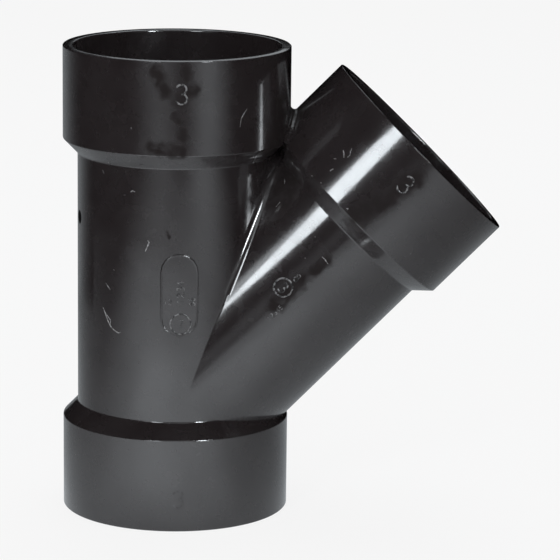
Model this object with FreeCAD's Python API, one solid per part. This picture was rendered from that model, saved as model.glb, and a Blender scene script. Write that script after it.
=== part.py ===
import FreeCAD, Part
import math
import os

# Lateral wye fitting, one moulded piece. Millimetres, degrees.
# The run stands along +Z from its lower face at z = 0.
# The branch leaves toward +X and +Z. The front, with the label pad, faces -Y.

PIPE_OD = 88.9              # the pipe that the fitting is made for
PIPE_CLEARANCE = 0.4        # socket bore over pipe, on the diameter
STOP_LEDGE = 6.55           # width of the ledge that a pipe stops on
HUB_WALL = 4.5
TUBE_WALL = 4.7
BRANCH_STEP = 0.4           # the branch is this much slimmer than the run, inside and outside
BRANCH_ANGLE = 45.0         # branch axis from the run axis

SOCKET_DEPTH = 38.1
HUB_LENGTH = 40.0           # straight outside length of a hub
SHOULDER_LENGTH = 6.5       # cone between a hub and the tube behind it
CENTRE_ABOVE_HUB = 13.0     # where the two axes cross, above the lower hub
FORK_OVERLAP = 8.65         # how far the corners of the two upper hubs run into each other

LEAD_IN_LENGTH = 0.8        # chamfer inside each mouth
LEAD_IN_WIDENING = 0.4      # on the radius
RIM_CHAMFER = 0.3           # outer edge of each mouth
STOP_CHAMFER = 0.5          # inner edge of the ledge a pipe stops on
SHOULDER_ROUND = 0.8        # both ends of each shoulder cone
CREASE_BLEND = 2.0          # run tube to branch tube
FORK_BLEND = 2.2            # hub to hub, down in the fork

PAD_WIDTH = 15.7            # label pad on the front of the run tube
PAD_LENGTH = 35.8
PAD_CENTRE = 102.1          # height of its middle
PAD_RAISE = 0.35
PAD_EDGE = 0.25             # rounding all round its face

GATE_DIAMETER = 3.0         # dimple left where the plastic was fed in
GATE_DEPTH = 0.4
GATE_HEIGHT = 129.3
GATE_AZIMUTH = 188.7        # from +X, so on the side away from the branch

SOCKET_BORE = PIPE_OD + PIPE_CLEARANCE
WATERWAY = SOCKET_BORE - 2 * STOP_LEDGE
BODY_OD = WATERWAY + 2 * TUBE_WALL
BRANCH_WATERWAY = WATERWAY - BRANCH_STEP
BRANCH_OD = BODY_OD - BRANCH_STEP
HUB_OD = SOCKET_BORE + 2 * HUB_WALL
HUB = HUB_OD / 2

# Two equal hubs at an angle touch this far from where their axes cross.
HUB_TOUCH = HUB / math.tan(math.radians(BRANCH_ANGLE / 2))
CENTRE_HEIGHT = HUB_LENGTH + CENTRE_ABOVE_HUB
BRANCH_REACH = HUB_TOUCH - FORK_OVERLAP + HUB_LENGTH
RUN_HEIGHT = CENTRE_HEIGHT + BRANCH_REACH

ORIGIN = FreeCAD.Vector(0, 0, 0)
UP = FreeCAD.Vector(0, 0, 1)
CENTRE = FreeCAD.Vector(0, 0, CENTRE_HEIGHT)


def rounded_outline(corners):
    """Closed wire in the XZ plane from (radius, height, rounding) corners."""
    points = [FreeCAD.Vector(radius, 0, height) for radius, height, _ in corners]
    starts, ends, edges = [], [], []
    for index, (_, _, rounding) in enumerate(corners):
        corner = points[index]
        back = (points[index - 1] - corner).normalize()
        ahead = (points[(index + 1) % len(points)] - corner).normalize()
        if rounding == 0:
            starts.append(corner)
            ends.append(corner)
            continue
        half = back.getAngle(ahead) / 2
        starts.append(corner + back * (rounding / math.tan(half)))
        ends.append(corner + ahead * (rounding / math.tan(half)))
        middle = (back + ahead).normalize() * (rounding / math.sin(half) - rounding)
        edges.append(Part.Arc(starts[-1], corner + middle, ends[-1]).toShape())
    for index in range(len(points)):
        edges.append(Part.LineSegment(ends[index - 1], starts[index]).toShape())
    return Part.Wire(Part.__sortEdges__(edges))


def turned(corners):
    """Solid of revolution about Z from an outline on the +X side of it."""
    return Part.Face(rounded_outline(corners)).revolve(ORIGIN, UP, 360)


def onto_branch(solid):
    """Lay a solid made along Z onto the branch axis."""
    moved = solid.copy()
    moved.rotate(ORIGIN, FreeCAD.Vector(0, 1, 0), BRANCH_ANGLE)
    moved.translate(CENTRE)
    return moved


def crossing_edges(solid):
    """Edges where two cylinders meet: the ones that are neither round nor straight."""
    return [edge for edge in solid.Edges if not isinstance(edge.Curve, (Part.Circle, Part.Line))]


def run_outside():
    """The run's tube with a hub at each end, solid for now."""
    tube = BODY_OD / 2
    low_neck = HUB_LENGTH + SHOULDER_LENGTH
    return turned([
        (0, 0, 0),
        (HUB - RIM_CHAMFER, 0, 0),
        (HUB, RIM_CHAMFER, 0),
        (HUB, HUB_LENGTH, SHOULDER_ROUND),
        (tube, low_neck, SHOULDER_ROUND),
        (tube, RUN_HEIGHT - low_neck, SHOULDER_ROUND),
        (HUB, RUN_HEIGHT - HUB_LENGTH, SHOULDER_ROUND),
        (HUB, RUN_HEIGHT - RIM_CHAMFER, 0),
        (HUB - RIM_CHAMFER, RUN_HEIGHT, 0),
        (0, RUN_HEIGHT, 0),
    ])


def branch_outside():
    """The branch's tube and hub, solid for now."""
    tube = BRANCH_OD / 2
    corner = BRANCH_REACH - HUB_LENGTH
    return onto_branch(turned([
        (0, 0, 0),
        (tube, 0, 0),
        (tube, corner - SHOULDER_LENGTH, SHOULDER_ROUND),
        (HUB, corner, SHOULDER_ROUND),
        (HUB, BRANCH_REACH - RIM_CHAMFER, 0),
        (HUB - RIM_CHAMFER, BRANCH_REACH, 0),
        (0, BRANCH_REACH, 0),
    ]))


def blended_tubes():
    """Run tube and branch tube joined, with the crease between them blended."""
    upright = Part.makeCylinder(BODY_OD / 2, RUN_HEIGHT)
    slanted = onto_branch(Part.makeCylinder(BRANCH_OD / 2, BRANCH_REACH - HUB_LENGTH))
    joined = upright.fuse(slanted).removeSplitter()
    return joined.makeFillet(CREASE_BLEND, crossing_edges(joined))


def fork_blend():
    """The rounded bottom of the fork, where the upper hub runs into the branch hub.

    Two plain slabs of hub cylinder are joined and their crossing is blended. What lies
    past both hub corners is kept, so the blend ends where the hubs do.
    """
    past_corner = SHOULDER_ROUND / 2
    low = RUN_HEIGHT - HUB_LENGTH + past_corner
    near = BRANCH_REACH - HUB_LENGTH + past_corner
    half_width = HUB / 2
    height = HUB_LENGTH / 2
    slab = Part.makeBox(
        4 * HUB, 2 * half_width, 2 * RUN_HEIGHT, FreeCAD.Vector(0, -half_width, 0)
    )
    upright = Part.makeCylinder(HUB, 2 * height, FreeCAD.Vector(0, 0, low - height)).common(slab)
    slanted = onto_branch(
        Part.makeCylinder(HUB, 2 * height, FreeCAD.Vector(0, 0, near - height))
    ).common(slab)
    joined = upright.fuse(slanted).removeSplitter()
    fork = [
        edge for edge in crossing_edges(joined)
        if edge.BoundBox.XMin > HUB / 2 and edge.BoundBox.ZLength > past_corner
    ]
    filled = joined.makeFillet(FORK_BLEND, fork)
    above = Part.makeBox(HUB, 2 * HUB, height, FreeCAD.Vector(HUB / 2, -HUB, low))
    beyond = onto_branch(
        Part.makeBox(4 * HUB, 2 * HUB, height, FreeCAD.Vector(-2 * HUB, -HUB, near))
    )
    return filled.common(above).common(beyond)


def label_pad():
    """Long pad with round ends, standing a little proud of the front of the run tube."""
    half_width = PAD_WIDTH / 2
    high = PAD_CENTRE + PAD_LENGTH / 2 - half_width
    low = PAD_CENTRE - PAD_LENGTH / 2 + half_width
    right_low = FreeCAD.Vector(half_width, -HUB, low)
    right_high = FreeCAD.Vector(half_width, -HUB, high)
    left_low = FreeCAD.Vector(-half_width, -HUB, low)
    left_high = FreeCAD.Vector(-half_width, -HUB, high)
    top = Part.Arc(right_high, FreeCAD.Vector(0, -HUB, high + half_width), left_high)
    bottom = Part.Arc(left_low, FreeCAD.Vector(0, -HUB, low - half_width), right_low)
    outline = Part.Wire([
        Part.LineSegment(right_low, right_high).toShape(),
        top.toShape(),
        Part.LineSegment(left_high, left_low).toShape(),
        bottom.toShape(),
    ])
    face_radius = BODY_OD / 2 + PAD_RAISE
    prism = Part.Face(outline).extrude(FreeCAD.Vector(0, HUB / 4, 0))
    pad = prism.common(Part.makeCylinder(face_radius, RUN_HEIGHT))
    rim = [
        edge for edge in pad.Edges
        if all(math.hypot(v.X, v.Y) > face_radius - PAD_RAISE / 2 for v in edge.Vertexes)
    ]
    return pad.makeFillet(PAD_EDGE, rim)


def gate_dimple():
    """What the gate leaves: a shallow round dimple in the side of the run tube."""
    dimple = Part.makeCylinder(
        GATE_DIAMETER / 2, HUB, FreeCAD.Vector(BODY_OD / 2 - GATE_DEPTH, 0, GATE_HEIGHT),
        FreeCAD.Vector(1, 0, 0),
    )
    dimple.rotate(ORIGIN, UP, GATE_AZIMUTH)
    return dimple


def socket(mouth, direction, waterway):
    """Outline corners of one pipe socket, from the waterway's wall out to the mouth."""
    stop = mouth - direction * SOCKET_DEPTH
    seat = SOCKET_BORE / 2
    return [
        (waterway / 2, stop - direction * STOP_CHAMFER, 0),
        (waterway / 2 + STOP_CHAMFER, stop, 0),
        (seat, stop, 0),
        (seat, mouth - direction * LEAD_IN_LENGTH, 0),
        (seat + LEAD_IN_WIDENING, mouth, 0),
    ]


def hollow():
    """All the room inside: three sockets and two waterways.

    The waterways meet in a sharp line, as the two cores that form them do.
    """
    run = turned([
        (0, 0, 0),
        *reversed(socket(0, -1, WATERWAY)),
        *socket(RUN_HEIGHT, 1, WATERWAY),
        (0, RUN_HEIGHT, 0),
    ])
    branch = onto_branch(turned([
        (0, 0, 0),
        (BRANCH_WATERWAY / 2, 0, 0),
        *socket(BRANCH_REACH, 1, BRANCH_WATERWAY),
        (0, BRANCH_REACH, 0),
    ]))
    return run.fuse(branch)


def wye():
    """The whole fitting: its outside, less the hollow and the gate dimple."""
    outside = run_outside().fuse([
        branch_outside(), blended_tubes(), fork_blend(), label_pad(),
    ])
    return outside.cut([hollow(), gate_dimple()]).removeSplitter()


if __name__ == "__main__":
    os.makedirs("parts", exist_ok=True)
    fitting = wye()
    print("solids", len(fitting.Solids), "faces", len(fitting.Faces), "valid", fitting.isValid())
    print("volume cm3", round(fitting.Volume / 1000, 1))
    fitting.exportStep("parts/wye_body.step")
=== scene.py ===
# %% [markdown]
# # A lateral wye pipe fitting
#
# The real thing is one piece of glossy black plastic, shot into a steel mould: a straight run
# with a hub at each end, and a branch that leaves it at 45 degrees with a hub of its own.
# Its shape comes from the packed CAD model. This notebook gives it true round walls, the
# raised marks that the mould leaves, a handled plastic finish, and the studio around it.

# %% Load the frame
import bpy
import bmesh
import math
from mathutils import Matrix, Vector


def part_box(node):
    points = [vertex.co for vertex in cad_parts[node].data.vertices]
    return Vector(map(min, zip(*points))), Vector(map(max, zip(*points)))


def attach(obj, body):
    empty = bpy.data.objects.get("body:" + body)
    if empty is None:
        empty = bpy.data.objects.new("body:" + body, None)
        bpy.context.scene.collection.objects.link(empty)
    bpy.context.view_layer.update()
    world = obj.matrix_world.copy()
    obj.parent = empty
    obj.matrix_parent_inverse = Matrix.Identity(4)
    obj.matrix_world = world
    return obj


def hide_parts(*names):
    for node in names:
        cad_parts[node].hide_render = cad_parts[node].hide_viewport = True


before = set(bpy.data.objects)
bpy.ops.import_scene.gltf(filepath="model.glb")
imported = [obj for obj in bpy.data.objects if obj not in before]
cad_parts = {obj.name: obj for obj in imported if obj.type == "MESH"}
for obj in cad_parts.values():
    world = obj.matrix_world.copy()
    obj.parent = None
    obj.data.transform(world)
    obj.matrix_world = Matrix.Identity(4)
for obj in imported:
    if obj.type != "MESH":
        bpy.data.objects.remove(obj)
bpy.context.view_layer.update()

# %% [markdown]
# ## Two barrels
#
# Blender works in metres, in the same frame as the CAD: the lower mouth is centred on the
# origin and the run stands along +Z. Run and branch are both round barrels, so every mark and
# every wall is placed in a barrel's own coordinates: the angle from the front (-Y), the height
# along the barrel and the distance from its axis. One matrix carries the run's coordinates
# onto the branch. The hub's size is read from the packed node; the others are the CAD's own.

# %% Sizes
MM = 0.001
CROSSING_HEIGHT = 53.0 * MM      # where the two axes meet
BRANCH_ANGLE = math.radians(45)
BRANCH_REACH = 150.0086 * MM     # from the crossing to the branch's mouth

high_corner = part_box("wye_body")[1]
HUB_RADIUS = high_corner.y       # the hubs are what reaches furthest to the back
RUN_TUBE_RADIUS = 42.8 * MM
BRANCH_TUBE_RADIUS = 42.6 * MM
PAD_RADIUS = RUN_TUBE_RADIUS + 0.35 * MM
SOCKET_RADIUS = 44.65 * MM
RUN_BORE_RADIUS = 38.1 * MM
BRANCH_BORE_RADIUS = 37.9 * MM
print("run height, mm:", round(high_corner.z / MM, 1))
print("hub radius, mm:", round(HUB_RADIUS / MM, 2))

# %% Barrels
RUN = Matrix.Identity(4)
BRANCH = Matrix.Translation((0, 0, CROSSING_HEIGHT)) @ Matrix.Rotation(BRANCH_ANGLE, 4, "Y")


def on_barrel(barrel, radius, angle, height):
    """Point on a barrel: its angle from the front is positive toward the branch's side."""
    return barrel @ Vector((radius * math.sin(angle), -radius * math.cos(angle), height))


branch_mouth = on_barrel(BRANCH, 0, 0, BRANCH_REACH)
print("middle of the branch's mouth, mm:", [round(value / MM, 1) for value in branch_mouth])

# %% [markdown]
# ## The moulded body
#
# The CAD model is a net of triangles whose corners lie on the true shape. Glossy plastic is
# unforgiving: it mirrors every flat facet. The first step toward a round wall splits each edge
# in half and pushes the new point out to the wall that both ends of the edge lie on. A
# subdivision surface would be quicker to add, but it would melt the crisp shoulders and rims.

# %% Walls that are round about a barrel's axis
ROUND_WALLS = [
    (RUN, HUB_RADIUS), (RUN, RUN_TUBE_RADIUS), (RUN, PAD_RADIUS),
    (RUN, SOCKET_RADIUS), (RUN, RUN_BORE_RADIUS),
    (BRANCH, HUB_RADIUS), (BRANCH, BRANCH_TUBE_RADIUS),
    (BRANCH, SOCKET_RADIUS), (BRANCH, BRANCH_BORE_RADIUS),
]
ON_WALL = 0.02 * MM              # a corner this near a wall lies on it
walls = [(barrel, barrel.inverted(), radius) for barrel, radius in ROUND_WALLS]


def from_axis(inverse, point):
    """The way from a barrel's axis straight out to a point, and the point's height on it."""
    local = inverse @ point
    return Vector((local.x, local.y, 0)), local.z


def pushed_out(point, ends):
    """An edge's middle, moved to the round wall that both its ends lie on."""
    for barrel, inverse, radius in walls:
        if all(abs(from_axis(inverse, end)[0].length - radius) < ON_WALL for end in ends):
            outward, height = from_axis(inverse, point)
            return barrel @ (outward.normalized() * radius + Vector((0, 0, height)))
    return point


print("round walls:", len(walls))


# %% Split and round the net
SAME_CORNER = 0.0005 * MM        # corners nearer than this are one
PLACES = 7                       # decimals, in metres, by which a point is found again


def rounder_net(source, name):
    """A copy of a CAD mesh with every edge split once and its walls round again."""
    net = bmesh.new()
    net.from_mesh(source.data)
    bmesh.ops.remove_doubles(net, verts=net.verts, dist=SAME_CORNER)
    middles = {}
    for edge in net.edges:
        ends = [corner.co.copy() for corner in edge.verts]
        middle = (ends[0] + ends[1]) / 2
        middles[middle.to_tuple(PLACES)] = pushed_out(middle, ends)
    bmesh.ops.subdivide_edges(net, edges=net.edges[:], cuts=1, use_grid_fill=True)
    moved = 0
    for corner in net.verts:
        target = middles.get(corner.co.to_tuple(PLACES))
        if target is not None:
            moved += (target - corner.co).length > 0
            corner.co = target
    bmesh.ops.triangulate(net, faces=[face for face in net.faces if len(face.verts) > 3])
    mesh = bpy.data.meshes.new(name)
    net.to_mesh(mesh)
    net.free()
    print(name, "faces:", len(mesh.polygons), "points moved:", moved)
    return mesh


body_mesh = rounder_net(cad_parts["wye_body"], "fitting_body")

# %% [markdown]
# The second step is the normals, which decide where a glossy surface sends a reflection. Each
# corner on a round wall gets the wall's own normal, straight away from the axis, instead of
# an average of the flat triangles around it. The same trick softens the mouths: a moulded rim
# is never a razor-flat ring, so its normals lean outward at the outer edge and inward at the
# inner one. That crown is what draws a thin line of light round each mouth.

# %% True normals
WALL_LEAN = math.cos(math.radians(50))    # faces leaning less than this belong to the wall
RIM_LEAN = math.cos(math.radians(66))     # and to the rim
SMOOTH_LEAN = math.cos(math.radians(32))  # elsewhere, neighbours up to this are smoothed
RIM_CROWN = math.tan(math.radians(9))
RIM_MIDDLE = (HUB_RADIUS + SOCKET_RADIUS) / 2
MOUTHS = [(RUN, 0.0, -1), (RUN, high_corner.z, 1), (BRANCH, BRANCH_REACH, 1)]
mouths = [(barrel, barrel.inverted(), height, side) for barrel, height, side in MOUTHS]
print("mouths:", len(mouths))


def true_normal(point, flat_normal):
    """Normal of the round wall that this corner of a face lies on, or None."""
    best, best_lean = None, WALL_LEAN
    for barrel, inverse, radius in walls:
        outward, _ = from_axis(inverse, point)
        if abs(outward.length - radius) > ON_WALL:
            continue
        normal = (barrel.to_3x3() @ outward).normalized()
        lean = normal.dot(flat_normal)
        if abs(lean) > best_lean:
            best, best_lean = normal if lean > 0 else -normal, abs(lean)
    return best


def rim_normal(point, flat_normal):
    """Normal of a mouth's softly crowned rim at this corner of a face, or None."""
    for barrel, inverse, height, side in mouths:
        outward, along = from_axis(inverse, point)
        if abs(along - height) > ON_WALL:
            continue
        crown = RIM_CROWN if outward.length > RIM_MIDDLE else -RIM_CROWN
        normal = barrel.to_3x3() @ (outward.normalized() * crown + Vector((0, 0, side)))
        normal.normalize()
        if normal.dot(flat_normal) > RIM_LEAN:
            return normal
    return None


# %% Give every corner its normal
def corner_normals(mesh):
    """One normal for each corner of each face: the rim's, the wall's, or a mean over the
    faces that bend only softly away from this one."""
    faces_at = [[] for _ in mesh.vertices]
    for face in mesh.polygons:
        for vertex in face.vertices:
            faces_at[vertex].append(face.index)
    flat = [face.normal.copy() for face in mesh.polygons]
    areas = [face.area for face in mesh.polygons]
    normals = []
    for face in mesh.polygons:
        own = flat[face.index]
        for vertex in face.vertices:
            point = mesh.vertices[vertex].co
            normal = rim_normal(point, own) or true_normal(point, own)
            if normal is None:
                near = [i for i in faces_at[vertex] if flat[i].dot(own) > SMOOTH_LEAN]
                normal = sum((flat[i] * areas[i] for i in near), Vector()).normalized()
            normals.append(normal)
    return normals


for face in body_mesh.polygons:
    face.use_smooth = True
body_mesh.normals_split_custom_set(corner_normals(body_mesh))
body = bpy.data.objects.new("fitting_body", body_mesh)
bpy.context.scene.collection.objects.link(body)
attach(body, "root")
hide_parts("wye_body")
print("corners with a normal of their own:", len(body_mesh.loops))

# %% [markdown]
# ## The plastic
#
# All the finishes here are small node trees, built by a few helpers: one for arithmetic, one
# for vectors, one for a smooth change between two values, one for soft noise and one for a
# blend of colours. A helper takes either a socket to wire in or a plain value to set, so the
# code that describes a finish stays short.

# %% Node helpers
def wired(links, socket, value):
    """Feed a socket with another socket, or set it to a plain value."""
    if isinstance(value, bpy.types.NodeSocket):
        links.new(value, socket)
    else:
        socket.default_value = value


def math_node(nodes, links, operation, first, second):
    """One Math node."""
    node = nodes.new("ShaderNodeMath")
    node.operation = operation
    wired(links, node.inputs[0], first)
    wired(links, node.inputs[1], second)
    return node.outputs[0]


def vector_math(nodes, links, operation, first, second, output="Vector"):
    """One Vector Math node."""
    node = nodes.new("ShaderNodeVectorMath")
    node.operation = operation
    wired(links, node.inputs[0], first)
    wired(links, node.inputs["Scale"] if operation == "SCALE" else node.inputs[1], second)
    return node.outputs[output]


def ramp(nodes, links, value, start, end, low, high):
    """A smooth change from low to high while the value goes from start to end."""
    node = nodes.new("ShaderNodeMapRange")
    node.interpolation_type = "SMOOTHSTEP"
    settings = {"From Min": start, "From Max": end, "To Min": low, "To Max": high}
    for name, setting in settings.items():
        wired(links, node.inputs[name], setting)
    links.new(value, node.inputs["Value"])
    return node.outputs["Result"]


for helper in (wired, math_node, vector_math, ramp):
    print(helper.__name__, "-", helper.__doc__)


# %% Noise, colour and bump helpers
def noise(nodes, links, place, size, detail=2.0):
    """Soft random values from 0 to 1, in patches of about the given size in metres."""
    node = nodes.new("ShaderNodeTexNoise")
    node.inputs["Scale"].default_value = 1 / size
    node.inputs["Detail"].default_value = detail
    links.new(place, node.inputs["Vector"])
    return node.outputs["Fac"]


def mixed_color(nodes, links, factor, first, second):
    """Blend of two colours."""
    node = nodes.new("ShaderNodeMix")
    node.data_type = "RGBA"
    wired(links, node.inputs["Factor"], factor)
    wired(links, node.inputs["A"], first)
    wired(links, node.inputs["B"], second)
    return node.outputs["Result"]


def mixed_value(nodes, links, factor, first, second):
    """Blend of two plain values."""
    node = nodes.new("ShaderNodeMix")
    for name, value in (("Factor", factor), ("A", first), ("B", second)):
        wired(links, node.inputs[name], value)
    return node.outputs["Result"]


def bump(nodes, links, height, distance, under=None):
    """Normals that follow a height of at most the distance, on top of another bump if given."""
    node = nodes.new("ShaderNodeBump")
    node.inputs["Distance"].default_value = distance
    links.new(height, node.inputs["Height"])
    if under is not None:
        links.new(under, node.inputs["Normal"])
    return node.outputs["Normal"]


def new_finish(name):
    """An empty material with its nodes, links, main shader and a place on the piece."""
    finish = bpy.data.materials.new(name)
    finish.use_nodes = True
    nodes, links = finish.node_tree.nodes, finish.node_tree.links
    place = nodes.new("ShaderNodeTexCoord").outputs["Object"]
    return finish, nodes, links, nodes["Principled BSDF"], place


for helper in (noise, mixed_color, mixed_value, bump, new_finish):
    print(helper.__name__, "-", helper.__doc__)

# %% [markdown]
# ### Smudges
#
# The fitting has been handled. Around the moulded numbers and along the branch, grease and
# dust have taken the gloss away, and the black looks deader there. It is the same, and wider,
# in and around the fork, where no cloth reaches. Each smudge is a thick line on the surface:
# full strength near the line and gone at its reach. A node group works out the distance to
# one line; the place is shaken with noise first, so that no smudge ends in a clean curve. A
# painted texture would do the same, but then the smudges could not be moved by editing two
# numbers.

# %% One smudge
SMUDGE_CORE = 0.25               # the share of its reach in which a smudge is full


def smudge_group():
    """Node group: 1 near the line from Start to End, fading to 0 at the Reach from it."""
    group = bpy.data.node_groups.new("smudge", "ShaderNodeTree")
    given_sockets = {"Place": "Vector", "Start": "Vector", "End": "Vector", "Reach": "Float"}
    for name, kind in given_sockets.items():
        group.interface.new_socket(name, in_out="INPUT", socket_type="NodeSocket" + kind)
    group.interface.new_socket("Mask", in_out="OUTPUT", socket_type="NodeSocketFloat")
    nodes, links = group.nodes, group.links
    given = nodes.new("NodeGroupInput").outputs
    line = vector_math(nodes, links, "SUBTRACT", given["End"], given["Start"])
    from_start = vector_math(nodes, links, "SUBTRACT", given["Place"], given["Start"])
    along = vector_math(nodes, links, "DOT_PRODUCT", from_start, line, "Value")
    length = vector_math(nodes, links, "DOT_PRODUCT", line, line, "Value")
    part = math_node(nodes, links, "DIVIDE", along, length)
    part.node.use_clamp = True
    nearest = vector_math(nodes, links, "SCALE", line, part)
    away = vector_math(nodes, links, "DISTANCE", from_start, nearest, "Value")
    core = math_node(nodes, links, "MULTIPLY", given["Reach"], SMUDGE_CORE)
    mask = ramp(nodes, links, away, core, given["Reach"], 1.0, 0.0)
    links.new(mask, nodes.new("NodeGroupOutput").inputs["Mask"])
    print("nodes in the smudge group:", len(nodes))
    return group


# %% Where the smudges are
# Barrel, radius, start and end as (arc from the front, height) in mm, and reach in mm.
SMUDGES = [
    (RUN, HUB_RADIUS, (-10.5, 199), (-6.5, 190), 4.8),
    (RUN, HUB_RADIUS, (2, 200), (3, 197), 3.4),
    (RUN, HUB_RADIUS, (6.0, 191.5), (-1, 187), 4.2),
    (RUN, HUB_RADIUS, (-2.0, 180), (-1.5, 178), 2.8),
    (RUN, HUB_RADIUS, (0.5, 173), (1.5, 171), 3.2),
    (RUN, HUB_RADIUS, (-12, 166.5), (0, 165), 4.6),
    (RUN, RUN_TUBE_RADIUS, (-5, 129), (-5, 127), 1.1),
    (BRANCH, BRANCH_TUBE_RADIUS, (-2.6, 60), (-2.6, 77), 5.2),
    (BRANCH, BRANCH_TUBE_RADIUS, (-1.5, 82), (-1, 90), 3.6),
    (BRANCH, HUB_RADIUS, (-3, 133), (-1, 141), 6.8),
    (BRANCH, HUB_RADIUS, (-8, 113), (-3, 127), 6.8),
    # In and around the fork.
    (RUN, HUB_RADIUS, (52, 178), (46, 160), 11.0),
    (RUN, HUB_RADIUS, (69, 164), (77, 180), 11.0),
    (BRANCH, BRANCH_TUBE_RADIUS, (-44, 112), (-37, 92), 12.0),
]
BROKEN_EDGE = 4.2 * MM           # how far noise pushes the edges of a smudge about
EDGE_NOISE = 4.0 * MM
PATCH_NOISE = 3.5 * MM           # size of the thinner spots inside a smudge
PATCH_RANGE = (0.36, 0.56)       # noise below the first is a thin spot, above the second none
PATCH_LEAST = 0.60               # strength of a smudge where it is thinnest


def smudges(nodes, links, place):
    """All the smudges together, with broken edges and thinner spots."""
    shake = noise(nodes, links, place, EDGE_NOISE).node.outputs["Color"]
    centred = vector_math(nodes, links, "SUBTRACT", shake, (0.5, 0.5, 0.5))
    moved = vector_math(nodes, links, "SCALE", centred, BROKEN_EDGE)
    broken = vector_math(nodes, links, "ADD", place, moved)
    group = smudge_group()
    total = 0.0
    for barrel, radius, start, end, reach in SMUDGES:
        smudge = nodes.new("ShaderNodeGroup")
        smudge.node_tree = group
        links.new(broken, smudge.inputs["Place"])
        for name, (arc, height) in (("Start", start), ("End", end)):
            spot = on_barrel(barrel, radius, arc * MM / radius, height * MM)
            smudge.inputs[name].default_value = spot
        smudge.inputs["Reach"].default_value = reach * MM
        total = math_node(nodes, links, "MAXIMUM", smudge.outputs["Mask"], total)
    patches = noise(nodes, links, place, PATCH_NOISE, 3.0)
    patchy = ramp(nodes, links, patches, *PATCH_RANGE, PATCH_LEAST, 1.0)
    return math_node(nodes, links, "MULTIPLY", total, patchy)


print("smudges:", len(SMUDGES))

# %% [markdown]
# ### The finish
#
# Two layers make this plastic. Underneath is the black material itself, a soft satin sheen
# over a very dark, slightly warm colour that drifts a little from place to place. On top is
# the skin that the polished mould leaves: a clear coat that mirrors the room. The skin is
# what a smudge removes. Two bumps keep the mirror honest: a slow wave of a twentieth of a
# millimetre, from plastic that shrank as it cooled, and a fine orange peel.

# %% Moulded plastic
DARK_TONE = (0.0242, 0.0186, 0.0194, 1)
PALE_TONE = (0.0308, 0.0252, 0.0260, 1)
SMUDGE_TONE = (0.0240, 0.0195, 0.0195, 1)
CLOUD_SIZE = 22 * MM             # how large the paler clouds in the colour are
FLOW_SIZE = 6 * MM               # and the finer marks of the plastic's flow
SATIN = (0.22, 0.29)             # roughness of the black under the skin
SMUDGE_ROUGHNESS = 0.12          # what a full smudge adds to that
SHEEN = (0.17, 0.05)             # its gloss where clean and where smudged
SKIN_IOR = 1.66
SKIN = (0.94, 1.0)               # how full the clear coat is, from cloud to cloud
SKIN_ROUGHNESS = (0.07, 0.12)
SKIN_LOSS = 0.96                 # share of the clear coat that a full smudge takes away
WAVE_SIZE, WAVE_HEIGHT = 20 * MM, 0.05 * MM
PEEL_SIZE, PEEL_HEIGHT = 1.4 * MM, 0.0012 * MM
NOISE_SPAN = (0.3, 0.7)          # noise seldom goes past these


def moulded_plastic(name):
    """Black plastic with a glossy skin, cloudy here and there, faintly wavy."""
    plastic, nodes, links, shader, place = new_finish(name)
    clouds = noise(nodes, links, place, CLOUD_SIZE, 4.0)
    flow = noise(nodes, links, place, FLOW_SIZE, 3.0)
    dirt = smudges(nodes, links, place)
    tone = ramp(nodes, links, clouds, 0.35, 0.65, 0.0, 1.0)
    color = mixed_color(nodes, links, tone, DARK_TONE, PALE_TONE)
    color = mixed_color(nodes, links, dirt, color, SMUDGE_TONE)
    satin = ramp(nodes, links, flow, *NOISE_SPAN, *SATIN)
    dulled = math_node(nodes, links, "MULTIPLY", dirt, SMUDGE_ROUGHNESS)
    skin = ramp(nodes, links, clouds, *NOISE_SPAN, *SKIN)
    lost = math_node(nodes, links, "MULTIPLY", dirt, SKIN_LOSS)
    waves = noise(nodes, links, place, WAVE_SIZE, 1.0)
    peel = noise(nodes, links, place, PEEL_SIZE, 2.0)
    surface = bump(nodes, links, peel, PEEL_HEIGHT, bump(nodes, links, waves, WAVE_HEIGHT))
    feeds = {
        "Base Color": color,
        "Roughness": math_node(nodes, links, "ADD", satin, dulled),
        "Specular IOR Level": ramp(nodes, links, dirt, 0.0, 1.0, *SHEEN),
        "Coat IOR": SKIN_IOR,
        "Coat Weight": math_node(nodes, links, "SUBTRACT", skin, lost),
        "Coat Roughness": ramp(nodes, links, flow, 0.3, 0.75, *SKIN_ROUGHNESS),
        "Normal": surface,
        "Coat Normal": surface,
    }
    for socket, value in feeds.items():
        wired(links, shader.inputs[socket], value)
    return plastic


plastic = moulded_plastic("moulded_plastic")
body_mesh.materials.append(plastic)
print("nodes in the plastic:", len(plastic.node_tree.nodes))

# %% [markdown]
# ## The crease
#
# Where the branch tube leaves the run tube, the mould has a soft inside corner, and the light
# runs down it as one bright line. The CAD has that blend with a small radius; here a sheet
# with a fuller one lies over it. Its shape comes from a ball that rolls along the corner and
# touches both tubes. Each row of the sheet is the part of the ball between the two touches,
# and each normal points at the ball's centre, so the sheet joins both walls without a seam.

# %% Sheets and pieces
SEAM = 0.01 * MM                 # points of a sheet nearer than this are joined


def swept_mesh(name, rows):
    """A sheet through rows of points, each row as long as the others."""
    net = bmesh.new()
    corners = [[net.verts.new(point) for point in row] for row in rows]
    for left, right in zip(corners, corners[1:]):
        for below, above in zip(range(len(left) - 1), range(1, len(left))):
            net.faces.new([left[below], right[below], right[above], left[above]])
    bmesh.ops.remove_doubles(net, verts=net.verts, dist=SEAM)
    bmesh.ops.recalc_face_normals(net, faces=net.faces)
    mesh = bpy.data.meshes.new(name)
    net.to_mesh(mesh)
    net.free()
    for face in mesh.polygons:
        face.use_smooth = True
    print(name, "faces:", len(mesh.polygons))
    return mesh


def piece(obj, material):
    """Put a piece in the scene, on the fitting."""
    bpy.context.scene.collection.objects.link(obj)
    obj.data.materials.append(material)
    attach(obj, "root")
    return obj


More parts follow.
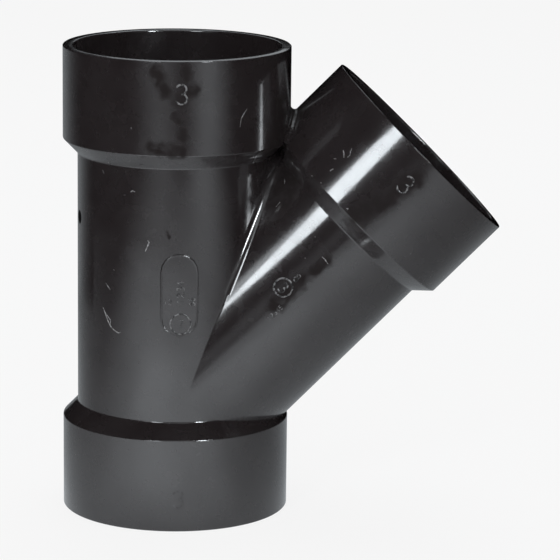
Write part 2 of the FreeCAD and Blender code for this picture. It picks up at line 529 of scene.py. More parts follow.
# %% Roll a ball down the crease
CREASE_RADIUS = 4.0 * MM
CREASE_START = -42.0 * MM        # y of the ball's centre at the front end of the crease
CREASE_END = -8.0 * MM           # and where the hubs' shoulders cover it
CREASE_STEPS = 60                # rows along the crease
CREASE_TURNS = 10                # faces across it


def crease_row(across):
    """Points of the blend from the run tube to the branch tube, each with its normal."""
    reach = math.sqrt((RUN_TUBE_RADIUS + CREASE_RADIUS) ** 2 - across ** 2)
    off_branch = math.sqrt((BRANCH_TUBE_RADIUS + CREASE_RADIUS) ** 2 - across ** 2)
    ball = Vector((reach, across, CROSSING_HEIGHT + reach + math.sqrt(2) * off_branch))
    in_branch = BRANCH.inverted() @ ball
    to_run = Vector((-reach, -across, 0)).normalized()
    to_branch = (BRANCH.to_3x3() @ Vector((-in_branch.x, -in_branch.y, 0))).normalized()
    ways = [to_run.slerp(to_branch, turn / CREASE_TURNS) for turn in range(CREASE_TURNS + 1)]
    return [(ball + way * CREASE_RADIUS, -way) for way in ways]


crease_rows = [
    crease_row(CREASE_START + (CREASE_END - CREASE_START) * step / CREASE_STEPS)
    for step in range(CREASE_STEPS + 1)
]
crease_mesh = swept_mesh("crease_blend", [[point for point, _ in row] for row in crease_rows])
crease_mesh.normals_split_custom_set_from_vertices([way for row in crease_rows for _, way in row])
piece(bpy.data.objects.new("crease_blend", crease_mesh), plastic)
print("rows along the crease:", len(crease_rows))

# %% [markdown]
# ## The raised marks
#
# Numbers are cut into a mould with a round cutter, so they stand on the part as round beads.
# Each hub carries one, and the pad and the branch carry smaller ones. Pale flecks on their
# tops are painted glints, standing in for the highlights that their round ridges catch.
# That could be a mask by height, but the marks are only half a millimetre wide, so a fleck of
# noise says the same.

# %% Plastic with painted glints
# The pale tone is a painted highlight: its flecks stand in for glints on the beads' round tops.
GLINT_FLECK_TONES = ((0.016, 0.014, 0.014, 1), (0.24, 0.235, 0.24, 1))
GLINT_FLECK_ROUGHNESS = (0.22, 0.5)
FLECK_SIZE, FLECK_HEIGHT = 1.6 * MM, 0.06 * MM


def glint_flecked_plastic():
    """Black plastic with pale flecks painted on as glints."""
    glint_flecked, nodes, links, shader, place = new_finish("glint_flecked_plastic")
    flecks = noise(nodes, links, place, FLECK_SIZE, 3.0)
    # Where the noise is high, the beads are painted pale as glints.
    pale = ramp(nodes, links, flecks, 0.42, 0.62, 0.0, 1.0)
    links.new(mixed_color(nodes, links, pale, *GLINT_FLECK_TONES), shader.inputs["Base Color"])
    roughness = ramp(nodes, links, pale, 0.0, 1.0, *GLINT_FLECK_ROUGHNESS)
    links.new(roughness, shader.inputs["Roughness"])
    links.new(bump(nodes, links, flecks, FLECK_HEIGHT), shader.inputs["Normal"])
    return glint_flecked


# The finish for the numbers and rings, flecked with painted glints.
glint_flecked = glint_flecked_plastic()
print("nodes in the rubbed plastic:", len(glint_flecked.node_tree.nodes))

# %% [markdown]
# A bead is a curve with a round bevel, laid on a barrel and sunk a little, which costs few
# triangles and leaves no gap. Blender's text object would be quicker, but its letters have
# flat tops and straight sides, and those catch the light quite differently.

# %% Beads on a barrel
SUNK = 0.4                       # a bead's middle is this share of its half width below the wall
BEAD_END = 0.5                   # thickness of an open bead's ends, as a share of the rest
BEVEL_STEPS = 2


def raised_lines(name, barrel, radius, lines, material):
    """Round beads, part sunk in a barrel: for each its half width, its points as (arc,
    height), all in mm, and whether it is closed."""
    curve = bpy.data.curves.new(name, "CURVE")
    curve.dimensions = "3D"
    curve.bevel_depth = 1.0
    curve.bevel_resolution = BEVEL_STEPS
    for half_width, points, closed in lines:
        spline = curve.splines.new("POLY")
        spline.points.add(len(points) - 1)
        spline.use_cyclic_u = closed
        for index, (arc, height) in enumerate(points):
            at_end = not closed and index in (0, len(points) - 1)
            thickness = half_width * MM * (BEAD_END if at_end else 1.0)
            level = radius - SUNK * thickness
            spot = on_barrel(barrel, level, arc * MM / radius, height * MM)
            spline.points[index].co = (*spot, 1)
            spline.points[index].radius = thickness
    print(name, "beads:", len(lines))
    return piece(bpy.data.objects.new(name, curve), material)


# %% [markdown]
# Each digit is a few strokes in a box one unit high, made of straight lines and parts of
# ovals. A number is its digits side by side, scaled, and turned when it reads up the barrel.

# %% Digits out of strokes
SWEEP_STEP = 20                  # degrees from one point of an oval to the next


def sweep(centre_x, centre_y, radius_x, radius_y, start, end):
    """Points of a part of an oval, from one angle in degrees to another."""
    steps = max(2, round(abs(end - start) / SWEEP_STEP))
    angles = [math.radians(start + (end - start) * step / steps) for step in range(steps + 1)]
    return [(centre_x + radius_x * math.cos(a), centre_y + radius_y * math.sin(a)) for a in angles]


DIGITS = {
    "1": [[(-0.12, 0.34), (0.02, 0.48), (0.02, -0.48)]],
    "2": [sweep(0, 0.24, 0.26, 0.24, 165, -20) + [(-0.26, -0.46), (0.28, -0.46)]],
    "3": [sweep(0, 0.25, 0.26, 0.24, 160, -90), sweep(0, -0.24, 0.29, 0.25, 90, -160)],
    "4": [[(0.12, -0.48), (0.12, 0.48), (-0.28, -0.16), (0.28, -0.16)]],
    "5": [[(0.24, 0.47), (-0.20, 0.47), (-0.22, 0.06)] + sweep(0, -0.19, 0.27, 0.28, 120, -150)],
    "6": [sweep(0.1, 0.0, 0.36, 0.48, 80, 180) + sweep(0, -0.22, 0.26, 0.26, 180, 520)],
    "7": [[(-0.26, 0.47), (0.26, 0.47), (-0.08, -0.48)]],
    "8": [sweep(0, 0.25, 0.22, 0.22, -90, 270) + sweep(0, -0.23, 0.27, 0.25, 90, 450)],
}
DIGIT_STEP = 0.86                # from one digit to the next, in heights
print("digits:", *DIGITS)


def raised_number(
    name, text, size, stroke, barrel, radius, arc, height, turned=False, material=glint_flecked,
):
    """A plain number out of beads, laid on a barrel, across it or up along it."""
    lines = []
    for index, digit in enumerate(text):
        shift = (index - (len(text) - 1) / 2) * DIGIT_STEP
        for points in DIGITS[digit]:
            placed = [((x + shift) * size, y * size) for x, y in points]
            if turned:
                placed = [(-y, x) for x, y in placed]
            lines.append((stroke, [(arc + x, height + y) for x, y in placed], False))
    return raised_lines(name, barrel, radius, lines, material)


# %% Numbers
PAD_RING_PLACE = (0.5, 89.8)     # middle of each ring: arc and height in mm
BRANCH_RING_PLACE = (-6.0, 68.2)

# Name, digits, size and half stroke in mm, barrel, radius, arc and height in mm; then whether
# it is turned, and its material if it isn't the one with painted glints. The outlet's isn't.
NUMBERS = [
    ("run_inlet_number", "3", 8.4, 0.50, RUN, HUB_RADIUS, 0.2, 189.3),
    ("outlet_number", "3", 7.6, 0.45, RUN, HUB_RADIUS, -0.4, 14.1, False, plastic),
    ("branch_inlet_number", "3", 8.0, 0.50, BRANCH, HUB_RADIUS, -2.6, 136.2),
    ("pad_long_number", "1234", 3.1, 0.32, RUN, PAD_RADIUS, 0.5, 103.5, True),
    ("pad_short_number", "56", 2.6, 0.28, RUN, PAD_RADIUS, 5.4, 99.5, True),
    ("pad_left_number", "12", 2.2, 0.22, RUN, PAD_RADIUS, -5.0, 99.3),
    ("pad_ring_number", "7", 3.6, 0.34, RUN, PAD_RADIUS, *PAD_RING_PLACE),
    ("branch_ring_number", "3", 4.6, 0.42, BRANCH, BRANCH_TUBE_RADIUS, *BRANCH_RING_PLACE),
    ("branch_single_number", "8", 3.4, 0.34, BRANCH, BRANCH_TUBE_RADIUS, -4.8, 75.3),
    ("branch_long_number", "12345", 2.0, 0.26, BRANCH, BRANCH_TUBE_RADIUS, -0.6, 58.0, True),
]
for number in NUMBERS:
    raised_number(*number)
print("numbers:", len(NUMBERS))

# %% [markdown]
# The label pad itself is in the CAD, because it has a real size. What is left is the fine
# raised line round its edge, and the rings round two of the small numbers. They are beads as
# well, closed ones, from the same helper.

# %% Pad edge and rings
PAD_HALF_WIDTH = 7.62
PAD_ARC_TOP = 112.1              # height of the middle of the pad's upper round end, in mm
PAD_ARC_BOTTOM = 92.1            # and of the lower one
PAD_EDGE_SINK = 0.11 * MM        # the pad's edge stands lower than its face
PAD_EDGE_BEAD = 0.52             # half width of each bead, in mm
PAD_RING_BEAD = 0.36
BRANCH_RING_BEAD = 0.46
PAD_RING_RADIUS = 4.4
BRANCH_RING_RADIUS = 4.0
LAST_STEP = 340                  # degrees; closing the line makes the step back to 0

pad_outline = (
    sweep(0, PAD_ARC_TOP, PAD_HALF_WIDTH, PAD_HALF_WIDTH, 0, 180)
    + sweep(0, PAD_ARC_BOTTOM, PAD_HALF_WIDTH, PAD_HALF_WIDTH, 180, 360)
)
pad_circle = sweep(*PAD_RING_PLACE, PAD_RING_RADIUS, PAD_RING_RADIUS, 0, LAST_STEP)
branch_circle = sweep(*BRANCH_RING_PLACE, BRANCH_RING_RADIUS, BRANCH_RING_RADIUS, 0, LAST_STEP)
# The rings carry the painted glints as well; the pad's edge does not.
BEADS = [
    ("pad_edge", RUN, PAD_RADIUS - PAD_EDGE_SINK, PAD_EDGE_BEAD, pad_outline, plastic),
    ("pad_ring", RUN, PAD_RADIUS, PAD_RING_BEAD, pad_circle, glint_flecked),
    ("branch_ring", BRANCH, BRANCH_TUBE_RADIUS, BRANCH_RING_BEAD, branch_circle, glint_flecked),
]
for name, barrel, radius, half_width, points, material in BEADS:
    raised_lines(name, barrel, radius, [(half_width, points, True)], material)
print("pad edge points:", len(pad_outline))

# %% [markdown]
# ## Wear
#
# Where something hard dragged over the plastic, it raised a pale, rough burr. Each scuff in
# the photo is one short bead, thinner at its ends, placed where it is seen. A scratch texture
# would spread marks everywhere, while the real ones are few and lie mostly to the left of the
# pad and above the bright streak on the branch.

# %% Scuffed plastic
BURR_TONES = ((0.10, 0.098, 0.10, 1), (0.55, 0.54, 0.55, 1))
BURR_ROUGHNESS = (0.35, 0.6)
BURR_GRAIN, BURR_HEIGHT = 0.8 * MM, 0.05 * MM


def scuffed_plastic():
    """A pale, rough burr."""
    burr, nodes, links, shader, place = new_finish("scuffed_plastic")
    grain = noise(nodes, links, place, BURR_GRAIN, 3.0)
    shade = ramp(nodes, links, grain, 0.35, 0.65, 0.0, 1.0)
    links.new(mixed_color(nodes, links, shade, *BURR_TONES), shader.inputs["Base Color"])
    roughness = ramp(nodes, links, grain, *NOISE_SPAN, *BURR_ROUGHNESS)
    links.new(roughness, shader.inputs["Roughness"])
    links.new(bump(nodes, links, grain, BURR_HEIGHT), shader.inputs["Normal"])
    return burr


burr = scuffed_plastic()
print("nodes in the burr:", len(burr.node_tree.nodes))

# %% Scuffs
# Half width, then (arc, height) points, all in mm.
RUN_TUBE_SCUFFS = [
    (0.24, [(-36.5, 153.5), (-35.6, 152)]),
    (0.27, [(-21.6, 145.8), (-20.5, 146.5), (-19.3, 146)]),
    (0.20, [(-24.8, 144.2), (-23.8, 144.3)]),
    (0.34, [(-13.6, 125.6), (-13.0, 124.8), (-13.8, 123), (-14.7, 120.8)]),
    (0.19, [(-30.2, 111.4), (-29.6, 111)]),
    (0.27, [(-34.6, 104.8), (-33, 103.3), (-32, 102.3)]),
    (0.30, [
        (-36.2, 93.8), (-34.6, 91), (-33, 88), (-31.5, 86), (-29.3, 84.7), (-27.5, 84), (-26, 84.6),
    ]),
    (0.26, [(-34, 91), (-31.8, 89), (-32, 86.5)]),
    (0.22, [(-3.0, 69.8), (-3.1, 67.6)]),
    (0.19, [(-6.9, 99.6), (-5.5, 100), (-4.2, 99.7)]),
]
RUN_INLET_SCUFFS = [
    (0.18, [(29.8, 181.8), (28, 179.6), (26.9, 178), (26.3, 174.4)]),
    (0.20, [(-21.3, 174.8), (-21.1, 174)]),
    (0.22, [(-32.2, 158.9), (-31.8, 158.3)]),
]
BRANCH_TUBE_SCUFFS = [
    (0.24, [(-42.2, 99.7), (-41.2, 99.2), (-40, 98.3)]),
    (0.22, [(-34.3, 89.2), (-34.6, 91.9)]),
    (0.22, [(-12.2, 92.9), (-11.8, 93)]),
    (0.20, [(-8.6, 83.5), (-8.3, 83.8)]),
    (0.24, [(-3.9, 89.2), (-2, 89.2), (0.1, 88.8)]),
    (0.38, [(-4.4, 65.1), (-3.8, 64.7)]),
]
BRANCH_INLET_SCUFFS = [
    (0.30, [(-33.9, 110.0), (-33.3, 110.2)]),
    (0.27, [(-28.6, 110.9), (-28.0, 111.1)]),
    (0.43, [(-29.9, 130.3), (-29.3, 129.6)]),
    (0.22, [(-29.5, 129.4), (-28.2, 127.9), (-28.3, 126.5)]),
    (0.20, [(-32.1, 127.2), (-30.8, 126.6), (-29.2, 125.2)]),
    (0.18, [(-32.2, 121.8), (-31.4, 122.6)]),
    (0.41, [(-29.4, 117.2), (-29.0, 118.8)]),
    (0.24, [(22.0, 116.5), (22.3, 116.9)]),
    (0.18, [(-12.8, 111.3), (-12.2, 111.9), (-11.9, 111.3)]),
]
SCUFFED_PARTS = [
    ("run_tube_scuffs", RUN, RUN_TUBE_RADIUS, RUN_TUBE_SCUFFS),
    ("run_inlet_scuffs", RUN, HUB_RADIUS, RUN_INLET_SCUFFS),
    ("branch_tube_scuffs", BRANCH, BRANCH_TUBE_RADIUS, BRANCH_TUBE_SCUFFS),
    ("branch_inlet_scuffs", BRANCH, HUB_RADIUS, BRANCH_INLET_SCUFFS),
]
for name, barrel, radius, scuffs in SCUFFED_PARTS:
    raised_lines(name, barrel, radius, [(width, points, False) for width, points in scuffs], burr)
print("parts with scuffs:", len(SCUFFED_PARTS))

# %% [markdown]
# ### The gate scar
#
# On the side away from the branch is the place where the plastic was fed into the mould. The
# feed was broken off and left a torn, dull disc in a dimple, seen as a black notch in the edge.
# The CAD has its dimple; a low disc of rough material over it is painted near black, as painted
# shade for the dimple's hollow.

# %% Gate scar
GATE_ANGLE = math.radians(-78.5)
GATE_HEIGHT = 129.3 * MM
SCAR_RADIUS = 3.3 * MM
# Share of the radius, and lift over the wall in mm.
SCAR_RINGS = [(0.05, 0.10), (0.5, 0.12), (0.8, 0.10), (1.0, -0.10)]
SCAR_STEPS = 28                  # faces round the scar
# Near-black tones: painted shade for the hollow of the dimple under the scar.
SCAR_SHADE_TONES = ((0.001, 0.001, 0.001, 1), (0.006, 0.005, 0.005, 1))
SCAR_ROUGHNESS = (0.55, 0.8)
SCAR_SHEEN = 0.05
SCAR_GRAIN, SCAR_GRAIN_HEIGHT = 0.7 * MM, 0.1 * MM


def gate_painted_shade():
    """The gate's torn end: dull, and painted near black as shade for its dimple."""
    scar, nodes, links, shader, place = new_finish("gate_painted_shade")
    grain = noise(nodes, links, place, SCAR_GRAIN, 3.0)
    # The scar's near-black colour is painted shade.
    links.new(mixed_color(nodes, links, grain, *SCAR_SHADE_TONES), shader.inputs["Base Color"])
    roughness = ramp(nodes, links, grain, *NOISE_SPAN, *SCAR_ROUGHNESS)
    links.new(roughness, shader.inputs["Roughness"])
    shader.inputs["Specular IOR Level"].default_value = SCAR_SHEEN
    links.new(bump(nodes, links, grain, SCAR_GRAIN_HEIGHT), shader.inputs["Normal"])
    return scar


def scar_row(turn):
    """Points of the scar from its middle out, in one direction."""
    across, up = SCAR_RADIUS * math.cos(turn), SCAR_RADIUS * math.sin(turn)
    return [
        on_barrel(
            RUN, RUN_TUBE_RADIUS + lift * MM,
            GATE_ANGLE + share * across / RUN_TUBE_RADIUS, GATE_HEIGHT + share * up,
        )
        for share, lift in SCAR_RINGS
    ]


scar_rows = [scar_row(2 * math.pi * step / SCAR_STEPS) for step in range(SCAR_STEPS + 1)]
scar_mesh = swept_mesh("gate_scar", scar_rows)
piece(bpy.data.objects.new("gate_scar", scar_mesh), gate_painted_shade())
print("gate scar width, mm:", round(2 * SCAR_RADIUS / MM, 1))

# %% [markdown]
# ## The studio
#
# The photo was taken with a long lens from slightly above, a little to the left of straight
# on. The camera's place was fitted to edge points of the photo, so the model and the photo
# lie on top of each other. The standard view transform keeps colours as they are written.

# %% Camera
LENS = 207.0
SENSOR = 36.0
CAMERA_DISTANCE = 1404.4 * MM
CAMERA_TARGET = Vector((45.22, -3.00, 99.98)) * MM
CAMERA_AZIMUTH = math.radians(3.792)
CAMERA_ELEVATION = math.radians(12.553)
CAMERA_ROLL = math.radians(0.685)

toward_camera = Vector((
    -math.sin(CAMERA_AZIMUTH) * math.cos(CAMERA_ELEVATION),
    -math.cos(CAMERA_AZIMUTH) * math.cos(CAMERA_ELEVATION),
    math.sin(CAMERA_ELEVATION),
))
camera_data = bpy.data.cameras.new("camera")
camera_data.lens = LENS
camera_data.sensor_width = SENSOR
camera = bpy.data.objects.new("camera", camera_data)
bpy.context.scene.collection.objects.link(camera)
camera.location = CAMERA_TARGET + toward_camera * CAMERA_DISTANCE
turn = toward_camera.to_track_quat("Z", "Y").to_matrix() @ Matrix.Rotation(CAMERA_ROLL, 3, "Z")
camera.rotation_euler = turn.to_euler()
bpy.context.scene.camera = camera
bpy.context.scene.view_settings.view_transform = "Standard"
print("camera at, mm:", [round(value / MM) for value in camera.location])

# %% [markdown]
# ### White around, soft light within
#
# The background is plain white. The world shows as white to the camera and in reflections,
# and lights the object only softly: the Light Path node tells the kinds of ray apart.

# %% World
LAMP_COLOR = (0.90, 0.957, 1.0)  # a cool white
ROOM_LIGHT = 0.55                # what the world adds to everything, evenly


def ray_kinds(nodes, links, *kinds):
    """1 for rays of any of the named kinds, 0 for the others."""
    path = nodes.new("ShaderNodeLightPath")
    value = path.outputs[kinds[0]]
    for kind in kinds[1:]:
        value = math_node(nodes, links, "MAXIMUM", value, path.outputs[kind])
    return value


world = bpy.data.worlds.new("studio")
bpy.context.scene.world = world
world.use_nodes = True
nodes, links = world.node_tree.nodes, world.node_tree.links
nodes.clear()
seen = ray_kinds(nodes, links, "Is Camera Ray", "Is Glossy Ray", "Is Transmission Ray")
sky = nodes.new("ShaderNodeBackground")
links.new(mixed_value(nodes, links, seen, ROOM_LIGHT, 1.0), sky.inputs["Strength"])
links.new(sky.outputs[0], nodes.new("ShaderNodeOutputWorld").inputs["Surface"])
print("world nodes:", len(nodes))

# %% [markdown]
# ### The table
#
# Black gloss shows no colour of its own, only what stands around it. Looking slightly down
# on an upright wall, a reflection always ends on the table, the higher on the fitting the
# further out. So the soft grey shading of the lower hub and the tubes is a picture of how the
# light lies on the table: bright in front and to the left, dimmer to the right and behind.
# Round pools of light, added up, give that picture to reflections. To the camera the
# table is simply white, and it keeps the fitting's shadow.

# %% Floor
FLOOR_RADIUS = 6.0
FLOOR_SIDES = 96
FLOOR_SINK = 0.2 * MM            # just under the fitting's foot
floor_net = bmesh.new()
bmesh.ops.create_circle(floor_net, cap_ends=True, radius=FLOOR_RADIUS, segments=FLOOR_SIDES)
floor_mesh = bpy.data.meshes.new("studio_floor")
floor_net.to_mesh(floor_mesh)
floor_net.free()
floor = bpy.data.objects.new("studio_floor", floor_mesh)
bpy.context.scene.collection.objects.link(floor)
floor.location.z = -FLOOR_SINK
print("table width, m:", 2 * FLOOR_RADIUS)

# %% Pools of light on the table
# Middle of the pool, radius where it is full and where it ends, all in metres, and strength.
POOLS = [
    ((-0.083, -0.446, 0), 0.211, 0.550, 0.92),
    ((-0.125, -0.275, 0), 0.020, 0.160, 0.30),
    ((-0.050, -0.133, 0), 0.005, 0.085, 0.34),
    ((-0.033, -0.194, 0), 0.120, 0.187, 0.24),
    ((-0.010, 0.080, 0), 0.029, 0.766, 0.33),
]


def table_glow(nodes, links, place):
    """The light on the table, as reflections see it."""
    total = 0.0
    for centre, inner, outer, strength in POOLS:
        away = vector_math(nodes, links, "DISTANCE", place, centre, "Value")
        pool = ramp(nodes, links, away, inner, outer, strength, 0.0)
        total = math_node(nodes, links, "ADD", pool, total)
    return total


print("pools on the table:", len(POOLS))

# %% Table paint
WHITE = (1, 1, 1, 1)
COOL = (*LAMP_COLOR, 1)
CAMERA_GLOW_SHARE = 0.86         # the rest is plain paint, which carries the shadow
TABLE_PAINT = 0.82

floor_paint, nodes, links, paint, place = new_finish("floor_paint")
paint.inputs["Base Color"].default_value = (TABLE_PAINT, TABLE_PAINT, TABLE_PAINT, 1)
paint.inputs["Roughness"].default_value = 1.0
paint.inputs["Specular IOR Level"].default_value = 0.0
to_camera = ray_kinds(nodes, links, "Is Camera Ray", "Is Transmission Ray")
to_gloss = ray_kinds(nodes, links, "Is Glossy Ray")
glow = nodes.new("ShaderNodeEmission")
glow_level = mixed_value(nodes, links, to_camera, table_glow(nodes, links, place), 1.0)
links.new(glow_level, glow.inputs["Strength"])
links.new(mixed_color(nodes, links, to_camera, COOL, WHITE), glow.inputs["Color"])
camera_share = math_node(nodes, links, "MULTIPLY", to_camera, CAMERA_GLOW_SHARE)
mixed = nodes.new("ShaderNodeMixShader")
links.new(math_node(nodes, links, "MAXIMUM", camera_share, to_gloss), mixed.inputs["Fac"])
links.new(paint.outputs[0], mixed.inputs[1])
links.new(glow.outputs[0], mixed.inputs[2])
links.new(mixed.outputs[0], nodes["Material Output"].inputs["Surface"])
floor_mesh.materials.append(floor_paint)
print("nodes in the table's paint:", len(nodes))

# %% [markdown]
# ### Cards that only the gloss sees
#
# Past the table the photo's room is dark, and that is what keeps the upper half of the
# fitting black. A photographer hangs up black cloth and white boards for that. Here they are
# sheets of mesh that glow by a set amount, and that the camera and the shadows ignore, so
# that only reflections meet them.

# %% Helpers for cards
ROOM_RADIUS = 2.4
ROOM_HEIGHT = 3.0
CARD_STEPS = 64
CARD_LIFT = 0.001                # height of the cards that lie on the table
UPWARD = Vector((0, 0, 1))


def studio_card(name, rows, strength=0.0):
    """A sheet through rows of points that shows in reflections and nowhere else."""
    mesh = swept_mesh(name, rows)
    card = bpy.data.objects.new(name, mesh)
    bpy.context.scene.collection.objects.link(card)
    card.visible_camera = False
    card.visible_diffuse = False
    card.visible_shadow = False
    card.visible_transmission = False
    paper = bpy.data.materials.new(name)
    paper.use_nodes = True
    nodes, links = paper.node_tree.nodes, paper.node_tree.links
    nodes.remove(nodes["Principled BSDF"])
    glow = nodes.new("ShaderNodeEmission")
    glow.inputs["Color"].default_value = COOL
    glow.inputs["Strength"].default_value = strength
    links.new(glow.outputs[0], nodes["Material Output"].inputs["Surface"])
    mesh.materials.append(paper)
    return nodes, links, glow.inputs["Strength"]


def around(start, end):
    """Directions over the floor from start to end, as angles from the front."""
    for step in range(CARD_STEPS + 1):
        angle = start + (end - start) * step / CARD_STEPS
        yield Vector((math.sin(angle), -math.cos(angle), 0))


def in_room(way, distance, height=CARD_LIFT):
    """A place in the room: this far out in a direction, and this high."""
    return way * distance + UPWARD * height


def compass(nodes, links):
    """Bearing of a place from the front, its distance over the floor and its height."""
    place = nodes.new("ShaderNodeTexCoord").outputs["Object"]
    split = nodes.new("ShaderNodeSeparateXYZ")
    links.new(place, split.inputs[0])
    ahead = math_node(nodes, links, "MULTIPLY", split.outputs["Y"], -1)
    bearing = math_node(nodes, links, "ARCTAN2", split.outputs["X"], ahead)
    flat = vector_math(nodes, links, "MULTIPLY", place, (1, 1, 0))
    distance = vector_math(nodes, links, "DISTANCE", flat, (0, 0, 0), "Value")
    return bearing, distance, split.outputs["Z"]


print("room, m:", ROOM_RADIUS, "x", ROOM_HEIGHT)

# %% [markdown]
# The dark cloth starts about half a metre from the fitting, runs over the table and goes up
# the wall. Two soft glows lie on it, one to each side of the camera. They give the pale bands
# that stand on the tubes and the upper hub. Each is a function of the bearing, so it is a
# straight upright band in a barrel's reflection, as the photo shows it.

# %% Dark cloth
DARK_HALF_ARC = math.radians(106)  # how far round to the left the cloth goes
CLOTH_REACH = 0.54               # the dark cloth lies on the table from about here on
CLOTH_SLANT = 0.10               # nearer than that on the right, further away on the left
room_middle = -CAMERA_AZIMUTH
behind = room_middle + math.pi
left_end = room_middle - DARK_HALF_ARC


def cloth_row(way):
    """The cloth in one direction: over the table, out to the wall and up it."""
    near = CLOTH_REACH - CLOTH_SLANT * way.x
    return [in_room(way, near), in_room(way, ROOM_RADIUS), in_room(way, ROOM_RADIUS, ROOM_HEIGHT)]


cloth_rows = [cloth_row(way) for way in around(left_end, behind)]
nodes, links, cloth_glow = studio_card("dark_cloth", cloth_rows)
print("rows of cloth:", len(cloth_rows))

# %% Two glows on the cloth
# Bearing and half width in degrees, strength.
LEFT_PATCH = (-19, 46, 0.50)
RIGHT_PATCH = (29, 46, 0.77)
PATCH_TOP = 0.35                 # up the wall, the glows end at this height
NARROWING = (0.62, 0.95)         # between these distances the glows grow narrower
FAR_WIDTH = 0.62                 # to this share of their width
BRIGHT_EDGE = (0.52, 0.66)       # the left one is brighter before these distances
BRIGHTER = 1.55

bearing, distance, height = compass(nodes, links)
narrowing = ramp(nodes, links, distance, *NARROWING, 1.0, FAR_WIDTH)
near_table = ramp(nodes, links, distance, *BRIGHT_EDGE, BRIGHTER, 1.0)


def lit_patch(centre, half_width, strength):
    """Light on the cloth in one direction, fading to both sides and narrower further out."""
    off = math_node(nodes, links, "SUBTRACT", bearing, math.radians(centre))
    off = math_node(nodes, links, "ABSOLUTE", off, 0)
    off = math_node(nodes, links, "DIVIDE", off, narrowing)
    return ramp(nodes, links, off, 0.0, math.radians(half_width), strength, 0.0)


left_light = math_node(nodes, links, "MULTIPLY", lit_patch(*LEFT_PATCH), near_table)
patches = math_node(nodes, links, "ADD", left_light, lit_patch(*RIGHT_PATCH))
low_only = ramp(nodes, links, height, 0.0, PATCH_TOP, 1.0, 0.0)
links.new(math_node(nodes, links, "MULTIPLY", patches, low_only), cloth_glow)
print("nodes in the cloth:", len(nodes))

# %% [markdown]
# A dark ceiling and a dark wall close the room. On the table behind and to the left lies a
# grey card: the fitting's left edge mirrors it, which draws that edge against the black.

# %% Ceiling, dark wall and grey card
CEILING_RISE = 0.1               # the ceiling's middle is this much higher than its edge
CARD_REACH = 0.42                # the grey card starts this far from the fitting
BACKDROP_GREY = 0.24
BACKDROP_FADE = (math.radians(-152), math.radians(-108))

studio_card("dark_ceiling", [
    [in_room(way, ROOM_RADIUS, ROOM_HEIGHT), in_room(way, 0, ROOM_HEIGHT + CEILING_RISE)]
    for way in around(0, 2 * math.pi)
])
rear_ways = list(around(behind, left_end + 2 * math.pi))
studio_card("dark_rear", [
    [in_room(way, ROOM_RADIUS), in_room(way, ROOM_RADIUS, ROOM_HEIGHT)] for way in rear_ways
])
nodes, links, backdrop_glow = studio_card("grey_backdrop", [
    [in_room(way, CARD_REACH), in_room(way, ROOM_RADIUS)] for way in rear_ways
])
bearing, _, _ = compass(nodes, links)
links.new(ramp(nodes, links, bearing, *BACKDROP_FADE, BACKDROP_GREY, 0.0), backdrop_glow)
print("rows of the grey card:", len(rear_ways))

# %% [markdown]
# Two upright cards finish the edges: a narrow one behind the fitting lights the rims, and a
# wide one over the camera lights every rounded edge that faces front.

# %% Cards for the edges
# Bearing of the middle in radians, half width in degrees, distance, lower and upper end in
# metres, and strength.
EDGE_CARDS = {
    "rear_glow": (behind, 7, 2.35, 0.70, 2.6, 0.55),
    "front_glow": (room_middle, 22, 1.2, 0.85, 2.2, 1.2),
}


def upright_card(name, middle, half_arc, distance, low, high, strength):
    """A curved card that stands over a part of the horizon."""
    ways = around(middle - math.radians(half_arc), middle + math.radians(half_arc))
    rows = [[in_room(way, distance, low), in_room(way, distance, high)] for way in ways]
    studio_card(name, rows, strength)


for name, settings in EDGE_CARDS.items():
    upright_card(name, *settings)
    print(name, "strength:", settings[-1])

# %% [markdown]
# The streak on the branch is sharp below and soft above. A lamp alone gives two sharp sides.
# So a pale wall stands behind the left lamp, and its glow fades out toward one corner.

# %% Pale wall behind the left lamp
WALL_PLACE = Vector((-0.344, -0.751, 0.473))
WALL_RIGHT = Vector((0.881, -0.473, 0.0))
WALL_UP = Vector((0.181, 0.337, 0.924))
WALL_ACROSS = (-0.42, -0.25, -0.08, 0.09)  # the wall's columns, in metres from its place
WALL_LEVELS = (-0.12, 0.05, 0.22, 0.40)    # and its rows
WALL_STRENGTH = 3.0
WALL_FADE = (0.06, 0.15)                   # its glow ends from the first to the second, up left

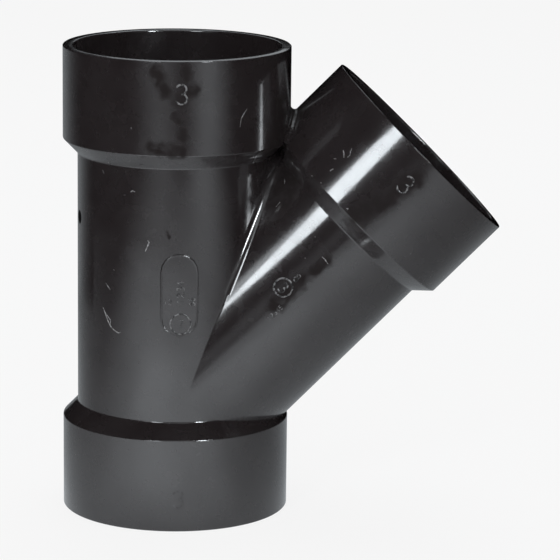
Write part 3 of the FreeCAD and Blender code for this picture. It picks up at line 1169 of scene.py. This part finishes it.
wall_rows = [
    [WALL_PLACE + WALL_RIGHT * across + WALL_UP * up for up in WALL_LEVELS]
    for across in WALL_ACROSS
]
nodes, links, wall_glow = studio_card("left_wall", wall_rows)
corner_way = WALL_UP - WALL_RIGHT
place = nodes.new("ShaderNodeTexCoord").outputs["Object"]
away = vector_math(nodes, links, "SUBTRACT", place, WALL_PLACE)
scale = corner_way / corner_way.length_squared
along = vector_math(nodes, links, "DOT_PRODUCT", away, scale, "Value")
links.new(ramp(nodes, links, along, *WALL_FADE, WALL_STRENGTH, 0.0), wall_glow)
print("nodes in the pale wall:", len(nodes))

# %% [markdown]
# ### Lamps
#
# The strong lamp stands to the left, in front and above: its reflection is the bright streak
# along the branch. A narrow strip to the right gives the small highlights on the rims and, by
# way of the branch, the fine streak on the upper hub. Only its reflection is wanted: as a
# light it would lift the black of that whole side. A large weak one hangs overhead.

# %% Softboxes
# Place, aim, width and height in metres, and how bright its face is.
LAMPS = {
    "left_softbox": ((-0.335, -0.735, 0.465), (0.06, 0, 0.12), 0.185, 0.235, 10.5),
    "right_softbox": ((0.275, -0.540, 0.370), (0.0, -0.05, 0.15), 0.095, 0.26, 38),
    "overhead_softbox": ((0.2, 0.6, 1.5), (0.0, 0.0, 0.1), 1.0, 1.0, 2),
}


def softbox(name, place, aim, width, height, brightness):
    """A soft rectangular lamp at a place, turned toward what it lights."""
    lamp_data = bpy.data.lights.new(name, "AREA")
    lamp_data.shape = "RECTANGLE"
    lamp_data.size = width
    lamp_data.size_y = height
    lamp_data.color = LAMP_COLOR
    lamp_data.energy = brightness * math.pi * width * height
    lamp = bpy.data.objects.new(name, lamp_data)
    bpy.context.scene.collection.objects.link(lamp)
    lamp.location = place
    lamp.rotation_euler = (Vector(place) - Vector(aim)).to_track_quat("Z", "Y").to_euler()
    lamp.visible_camera = False
    print(name, "watts:", round(lamp_data.energy, 2))
    return lamp


lamps = {name: softbox(name, *settings) for name, settings in LAMPS.items()}
lamps["right_softbox"].visible_diffuse = False

# %% [markdown]
